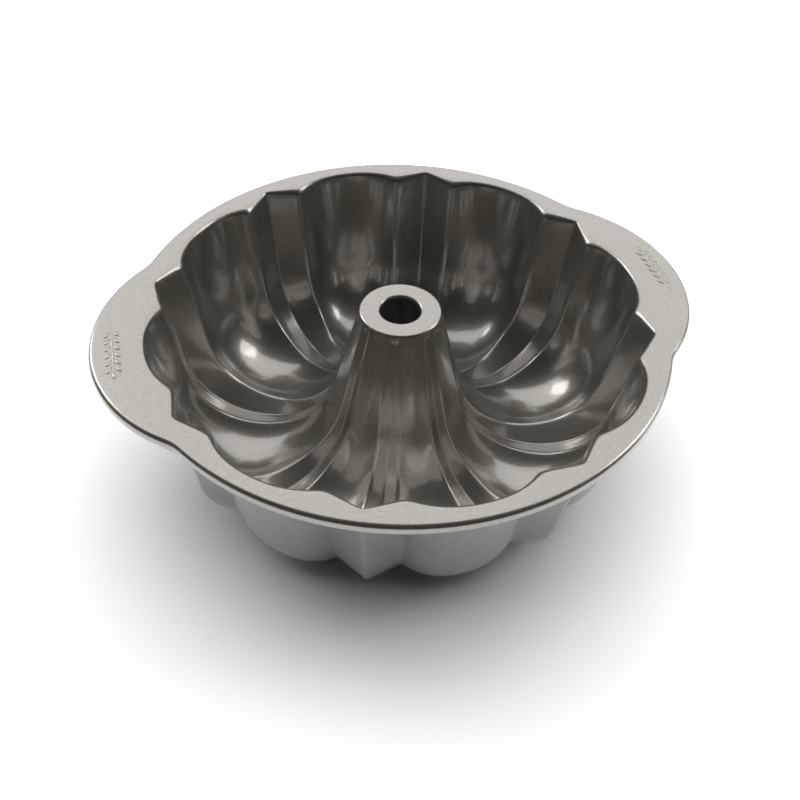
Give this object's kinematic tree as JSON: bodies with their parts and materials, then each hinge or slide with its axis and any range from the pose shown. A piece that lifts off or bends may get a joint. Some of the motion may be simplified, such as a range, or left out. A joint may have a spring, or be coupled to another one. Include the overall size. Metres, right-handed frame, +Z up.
{
  "type": "fluted bundt pan",
  "caption": "Fluted ring cake pan with round lobes parted by V flutes, a hollow centre tube, a flat rim with its edge turned down, and two flat ears.",
  "frame": {"origin": "middle of the footprint, on the surface that the pan stands on", "axes": "+Z up along the centre tube's axis, +X out through the middle of the right ear"},
  "size_m": [0.304, 0.271, 0.0936],
  "materials": {
    "coated_metal": "satin warm-grey metallic non-stick coating"
  },
  "bodies": {
    "root": {"mouth_bend": "coated_metal", "fluted_wall": "coated_metal", "fluted_floor": "coated_metal", "centre_tube": "coated_metal", "tube_cap": "coated_metal", "front_rim": "coated_metal", "back_rim": "coated_metal", "left_ear": "coated_metal", "right_ear": "coated_metal"}
  },
  "joints": []
}
